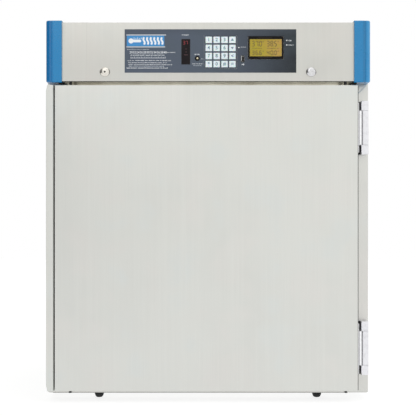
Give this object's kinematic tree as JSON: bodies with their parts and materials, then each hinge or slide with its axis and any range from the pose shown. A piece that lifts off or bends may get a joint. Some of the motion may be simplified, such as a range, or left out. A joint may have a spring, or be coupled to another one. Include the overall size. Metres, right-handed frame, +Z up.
{
  "type": "laboratory incubator",
  "caption": "Single-door heated incubator cabinet with a stainless steel shell, an insulated chamber on wire shelves, and a keypad and display in its header.",
  "frame": {"origin": "on the floor, at the middle of the cabinet's width and depth", "axes": "+X to the right seen from the front, +Y from the door to the back, +Z up"},
  "size_m": [0.767, 0.673, 0.8967],
  "materials": {
    "stainless": "satin",
    "lining_steel": "satin",
    "chrome": "polished",
    "zinc_plate": "satin",
    "aluminium": "satin",
    "heater_sheath": "matte",
    "motor_paint": "matte",
    "blue_plastic": "satin",
    "slate_overlay": "satin",
    "key_plastic": "satin",
    "black_plastic": "satin",
    "display_glass": "gloss",
    "circuit_board": "satin",
    "rubber": "matte",
    "gasket_rubber": "matte",
    "mineral_wool": "matte"
  },
  "bodies": {
    "cabinet": {"outer_wrapper": "stainless", "top_cover": "stainless", "rear_panel": "stainless", "control_tray": "stainless", "power_inlet": "black_plastic", "foot_front_left": "rubber", "foot_front_right": "rubber", "foot_rear_left": "rubber", "foot_rear_right": "rubber", "chamber_liner": "lining_steel", "insulation_jacket": "mineral_wool", "rear_baffle": "lining_steel", "heater_element": "heater_sheath", "fan_motor": "motor_paint", "shelf_rack_left": "lining_steel", "shelf_rack_right": "lining_steel", "shelf_lower": "lining_steel", "shelf_upper": "lining_steel", "temperature_probe": "lining_steel", "header_fascia": "stainless", "control_overlay": "slate_overlay", "corner_cap_left": "blue_plastic", "corner_cap_right": "blue_plastic", "display_bezel": "black_plastic", "display_pane": "display_glass", "keypad_housing": "slate_overlay", "switch_housing": "black_plastic", "control_board": "circuit_board", "upper_hinge_frame_leaf": "chrome", "lower_hinge_frame_leaf": "chrome", "upper_hinge_pin": "zinc_plate", "lower_hinge_pin": "zinc_plate"},
    "door": {"door_outer_panel": "stainless", "door_inner_panel": "lining_steel", "door_insulation": "mineral_wool", "door_gasket": "gasket_rubber", "door_pull": "stainless", "upper_hinge_door_leaf": "chrome", "lower_hinge_door_leaf": "chrome"},
    "fan": {"fan_wheel": "aluminium"},
    "key_1": {"key_1": "key_plastic"},
    "key_2": {"key_2": "key_plastic"},
    "key_3": {"key_3": "key_plastic"},
    "key_up": {"key_up": "key_plastic"},
    "key_4": {"key_4": "key_plastic"},
    "key_5": {"key_5": "key_plastic"},
    "key_6": {"key_6": "key_plastic"},
    "key_down": {"key_down": "key_plastic"},
    "key_7": {"key_7": "key_plastic"},
    "key_8": {"key_8": "key_plastic"},
    "key_9": {"key_9": "key_plastic"},
    "key_clear": {"key_clear": "key_plastic"},
    "key_star": {"key_star": "key_plastic"},
    "key_0": {"key_0": "key_plastic"},
    "key_hash": {"key_hash": "key_plastic"},
    "key_enter": {"key_enter": "key_plastic"},
    "alarm_button": {"alarm_button": "zinc_plate"},
    "power_rocker": {"power_rocker": "black_plastic"},
    "fastener_left": {"fascia_fastener_left": "chrome"},
    "fastener_right": {"fascia_fastener_right": "chrome"}
  },
  "joints": [
    {"name": "door_hinge", "type": "hinge", "parent": "cabinet", "child": "door", "pos_m": [0.3698, -0.313, 0.38625], "axis": [0, 0, 1], "range_deg": [0, 180]},
    {"name": "fan_spin", "type": "hinge", "parent": "cabinet", "child": "fan", "pos_m": [0, 0.227, 0.3815], "axis": [0, 1, 0], "continuous": true},
    {"name": "power_rocker_tilt", "type": "hinge", "parent": "cabinet", "child": "power_rocker", "pos_m": [0.0814, -0.3314, 0.8068], "axis": [-1, 0, 0], "range_deg": [0, 18]},
    {"name": "fastener_left_turn", "type": "hinge", "parent": "cabinet", "child": "fastener_left", "pos_m": [-0.242, -0.3318, 0.776], "axis": [0, 1, 0], "range_deg": [0, 90]},
    {"name": "fastener_right_turn", "type": "hinge", "parent": "cabinet", "child": "fastener_right", "pos_m": [0.242, -0.3318, 0.776], "axis": [0, 1, 0], "range_deg": [0, 90]},
    {"name": "alarm_button_press", "type": "slide", "parent": "cabinet", "child": "alarm_button", "axis": [0, 1, 0], "range_m": [0, 0.0015], "stiffness_N_per_m": 600},
    {"name": "key_1_press", "type": "slide", "parent": "cabinet", "child": "key_1", "axis": [0, 1, 0], "range_m": [0, 0.0012], "stiffness_N_per_m": 400},
    {"name": "key_2_press", "type": "slide", "parent": "cabinet", "child": "key_2", "axis": [0, 1, 0], "range_m": [0, 0.0012], "stiffness_N_per_m": 400},
    {"name": "key_3_press", "type": "slide", "parent": "cabinet", "child": "key_3", "axis": [0, 1, 0], "range_m": [0, 0.0012], "stiffness_N_per_m": 400},
    {"name": "key_up_press", "type": "slide", "parent": "cabinet", "child": "key_up", "axis": [0, 1, 0], "range_m": [0, 0.0012], "stiffness_N_per_m": 400},
    {"name": "key_4_press", "type": "slide", "parent": "cabinet", "child": "key_4", "axis": [0, 1, 0], "range_m": [0, 0.0012], "stiffness_N_per_m": 400},
    {"name": "key_5_press", "type": "slide", "parent": "cabinet", "child": "key_5", "axis": [0, 1, 0], "range_m": [0, 0.0012], "stiffness_N_per_m": 400},
    {"name": "key_6_press", "type": "slide", "parent": "cabinet", "child": "key_6", "axis": [0, 1, 0], "range_m": [0, 0.0012], "stiffness_N_per_m": 400},
    {"name": "key_down_press", "type": "slide", "parent": "cabinet", "child": "key_down", "axis": [0, 1, 0], "range_m": [0, 0.0012], "stiffness_N_per_m": 400},
    {"name": "key_7_press", "type": "slide", "parent": "cabinet", "child": "key_7", "axis": [0, 1, 0], "range_m": [0, 0.0012], "stiffness_N_per_m": 400},
    {"name": "key_8_press", "type": "slide", "parent": "cabinet", "child": "key_8", "axis": [0, 1, 0], "range_m": [0, 0.0012], "stiffness_N_per_m": 400},
    {"name": "key_9_press", "type": "slide", "parent": "cabinet", "child": "key_9", "axis": [0, 1, 0], "range_m": [0, 0.0012], "stiffness_N_per_m": 400},
    {"name": "key_clear_press", "type": "slide", "parent": "cabinet", "child": "key_clear", "axis": [0, 1, 0], "range_m": [0, 0.0012], "stiffness_N_per_m": 400},
    {"name": "key_star_press", "type": "slide", "parent": "cabinet", "child": "key_star", "axis": [0, 1, 0], "range_m": [0, 0.0012], "stiffness_N_per_m": 400},
    {"name": "key_0_press", "type": "slide", "parent": "cabinet", "child": "key_0", "axis": [0, 1, 0], "range_m": [0, 0.0012], "stiffness_N_per_m": 400},
    {"name": "key_hash_press", "type": "slide", "parent": "cabinet", "child": "key_hash", "axis": [0, 1, 0], "range_m": [0, 0.0012], "stiffness_N_per_m": 400},
    {"name": "key_enter_press", "type": "slide", "parent": "cabinet", "child": "key_enter", "axis": [0, 1, 0], "range_m": [0, 0.0012], "stiffness_N_per_m": 400}
  ]
}
